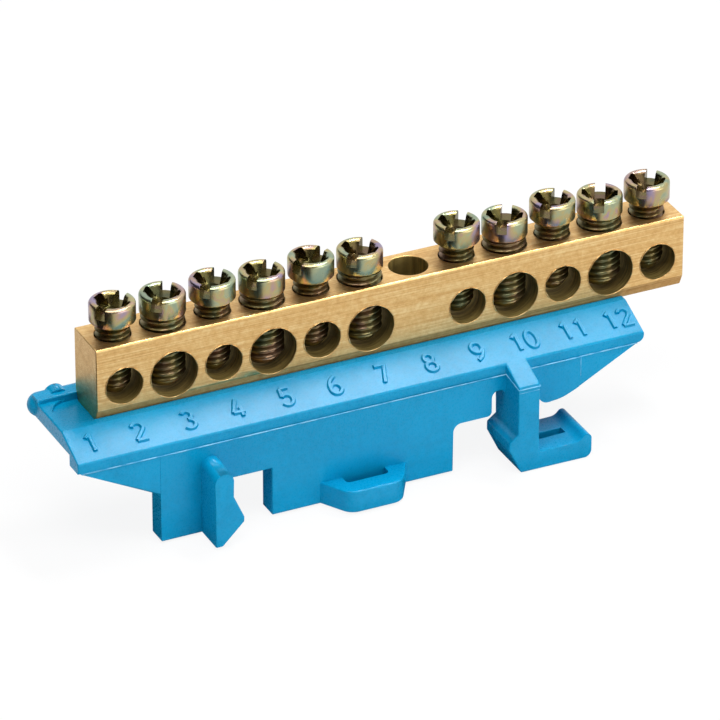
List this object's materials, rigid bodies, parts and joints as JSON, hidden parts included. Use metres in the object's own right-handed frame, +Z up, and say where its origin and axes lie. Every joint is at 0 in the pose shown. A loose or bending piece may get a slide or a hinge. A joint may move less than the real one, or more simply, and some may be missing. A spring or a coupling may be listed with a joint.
{
  "type": "neutral terminal bar",
  "caption": "Drilled brass terminal bar with clamp screws over its wire holes, lying on a blue plastic carrier that hooks and latches onto a top-hat rail.",
  "frame": {"origin": "centre of the rail, in the middle of the carrier's web, on the face that the rail's flanges lie against", "axes": "+X along the bar, to the right when the numbers are read; +Y along the rail, away from the numbered side; +Z up, away from the rail"},
  "size_m": [0.0778, 0.0179, 0.0275],
  "materials": {
    "brass": "drawn, satin",
    "blue_plastic": "moulded, matte",
    "yellow_zinc": "zinc plated, yellow chromate"
  },
  "bodies": {
    "bar_and_carrier": {"terminal_bar": "brass", "carrier": "blue_plastic"},
    "screw_1": {"clamp_screw_1": "yellow_zinc"},
    "screw_2": {"clamp_screw_2": "yellow_zinc"},
    "screw_3": {"clamp_screw_3": "yellow_zinc"},
    "screw_4": {"clamp_screw_4": "yellow_zinc"},
    "screw_5": {"clamp_screw_5": "yellow_zinc"},
    "screw_6": {"clamp_screw_6": "yellow_zinc"},
    "screw_8": {"clamp_screw_8": "yellow_zinc"},
    "screw_9": {"clamp_screw_9": "yellow_zinc"},
    "screw_10": {"clamp_screw_10": "yellow_zinc"},
    "screw_11": {"clamp_screw_11": "yellow_zinc"},
    "screw_12": {"clamp_screw_12": "yellow_zinc"}
  },
  "joints": [
    {"name": "screw_1_travel", "type": "slide", "parent": "bar_and_carrier", "child": "screw_1", "axis": [0, 0, 1], "range_m": [-0.0001, 0.004]},
    {"name": "screw_2_travel", "type": "slide", "parent": "bar_and_carrier", "child": "screw_2", "axis": [0, 0, 1], "range_m": [-0.0001, 0.005]},
    {"name": "screw_3_travel", "type": "slide", "parent": "bar_and_carrier", "child": "screw_3", "axis": [0, 0, 1], "range_m": [-0.0001, 0.004]},
    {"name": "screw_4_travel", "type": "slide", "parent": "bar_and_carrier", "child": "screw_4", "axis": [0, 0, 1], "range_m": [-0.0001, 0.005]},
    {"name": "screw_5_travel", "type": "slide", "parent": "bar_and_carrier", "child": "screw_5", "axis": [0, 0, 1], "range_m": [-0.0001, 0.004]},
    {"name": "screw_6_travel", "type": "slide", "parent": "bar_and_carrier", "child": "screw_6", "axis": [0, 0, 1], "range_m": [-0.0001, 0.005]},
    {"name": "screw_8_travel", "type": "slide", "parent": "bar_and_carrier", "child": "screw_8", "axis": [0, 0, 1], "range_m": [-0.0001, 0.004]},
    {"name": "screw_9_travel", "type": "slide", "parent": "bar_and_carrier", "child": "screw_9", "axis": [0, 0, 1], "range_m": [-0.0001, 0.005]},
    {"name": "screw_10_travel", "type": "slide", "parent": "bar_and_carrier", "child": "screw_10", "axis": [0, 0, 1], "range_m": [-0.0001, 0.004]},
    {"name": "screw_11_travel", "type": "slide", "parent": "bar_and_carrier", "child": "screw_11", "axis": [0, 0, 1], "range_m": [-0.0001, 0.005]},
    {"name": "screw_12_travel", "type": "slide", "parent": "bar_and_carrier", "child": "screw_12", "axis": [0, 0, 1], "range_m": [-0.0001, 0.004]}
  ]
}
